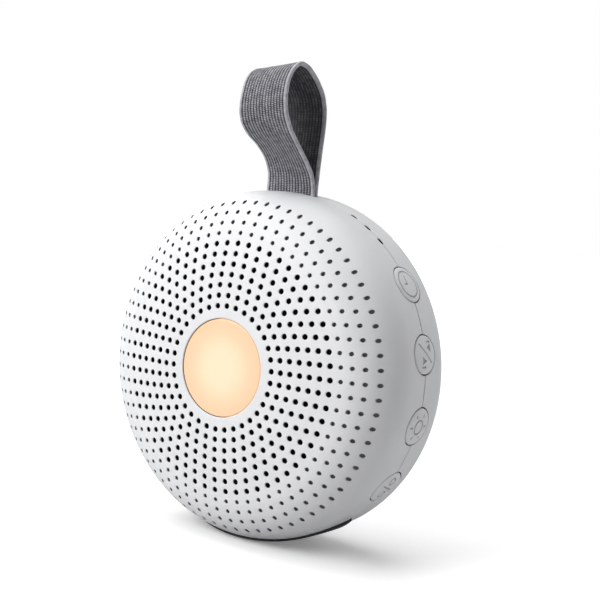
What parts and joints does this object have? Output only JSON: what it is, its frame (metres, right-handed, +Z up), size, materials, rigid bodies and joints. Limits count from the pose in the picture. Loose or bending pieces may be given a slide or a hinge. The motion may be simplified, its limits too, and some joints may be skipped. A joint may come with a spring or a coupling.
{
  "type": "portable sound machine",
  "caption": "Round pillow-shaped portable sound machine with a perforated front, night-light lens, side buttons, rubber foot and a webbing hanging loop.",
  "frame": {"origin": "centre of the foot's flat sole, below the middle of the seam between the two shells", "axes": "+Z up, -Y out of the perforated front, +X towards the buttons"},
  "size_m": [0.0921, 0.0428, 0.125],
  "materials": {
    "shell": "fine moulded grain, white",
    "steel": "zinc plated",
    "foot_rubber": "dark grey, fine grain",
    "lens": "opal diffuser, warm glow",
    "cup": "white reflector",
    "circuit_board": "green solder mask",
    "led": "phosphor in clear resin",
    "cloth": "fine acoustic mesh",
    "speaker_steel": "black paint",
    "foam": "closed cell foam",
    "cone_paper": "pressed paper",
    "surround_rubber": "satin",
    "copper": "enamelled winding",
    "zinc_steel": "bright zinc",
    "ferrite": "matte",
    "chip_epoxy": "moulded epoxy",
    "battery_wrap": "foil pouch",
    "light_pipe": "frosted clear",
    "webbing": "woven grey webbing",
    "wire": "silicone insulation",
    "socket_nylon": "natural nylon"
  },
  "bodies": {
    "case": {"front_shell": "shell", "rear_shell": "shell", "case_screws": "steel", "foot_pad": "foot_rubber", "night_light_lens": "lens", "light_cup": "cup", "light_board": "circuit_board", "light_leds": "led", "grille_cloth": "cloth", "speaker_frame": "speaker_steel", "speaker_gasket": "foam", "speaker_surround": "surround_rubber", "speaker_top_plate": "zinc_steel", "speaker_magnet": "ferrite", "speaker_yoke": "zinc_steel", "speaker_screws": "steel", "main_board": "circuit_board", "board_screws": "steel", "board_chips": "chip_epoxy", "battery": "battery_wrap", "battery_foam": "foam", "charging_port": "zinc_steel", "port_tongue": "chip_epoxy", "button_board": "circuit_board", "button_board_screws": "steel", "board_link": "chip_epoxy", "indicator_leds": "led", "light_pipe_1": "light_pipe", "light_pipe_2": "light_pipe", "light_pipe_3": "light_pipe", "strap_root": "webbing", "strap_pin": "steel", "light_lead": "wire", "speaker_lead": "wire", "battery_lead": "wire", "lead_sockets": "socket_nylon", "timer_switch": "socket_nylon", "sound_switch": "socket_nylon", "light_switch": "socket_nylon", "volume_switch": "socket_nylon"},
    "timer_key": {"timer_button": "shell", "timer_plunger": "chip_epoxy"},
    "sound_key": {"sound_button": "shell", "sound_plunger": "chip_epoxy"},
    "light_key": {"light_button": "shell", "light_plunger": "chip_epoxy"},
    "volume_key": {"volume_button": "shell", "volume_plunger": "chip_epoxy"},
    "cone_assembly": {"speaker_cone": "cone_paper", "dust_cap": "cone_paper", "voice_coil": "copper"},
    "strap": {"strap_loop": "webbing"}
  },
  "joints": [
    {"name": "timer_press", "type": "slide", "parent": "case", "child": "timer_key", "axis": [-0.8271, 0, -0.5621], "range_m": [0, 0.0004], "stiffness_N_per_m": 400, "springref_m": -0.0002},
    {"name": "sound_press", "type": "slide", "parent": "case", "child": "sound_key", "axis": [-0.9803, 0, -0.1977], "range_m": [0, 0.0004], "stiffness_N_per_m": 400, "springref_m": -0.0002},
    {"name": "light_press", "type": "slide", "parent": "case", "child": "light_key", "axis": [-0.9803, 0, 0.1977], "range_m": [0, 0.0004], "stiffness_N_per_m": 400, "springref_m": -0.0002},
    {"name": "volume_press", "type": "slide", "parent": "case", "child": "volume_key", "axis": [-0.8271, 0, 0.5621], "range_m": [0, 0.0004], "stiffness_N_per_m": 400, "springref_m": -0.0002},
    {"name": "cone_stroke", "type": "slide", "parent": "case", "child": "cone_assembly", "axis": [0, 1, 0], "range_m": [-0.0008, 0.0008], "stiffness_N_per_m": 1500},
    {"name": "strap_swing", "type": "hinge", "parent": "case", "child": "strap", "pos_m": [0, 0, 0.09355], "axis": [1, 0, 0], "range_deg": [-75, 45], "stiffness_Nm_per_rad": 0.01}
  ]
}
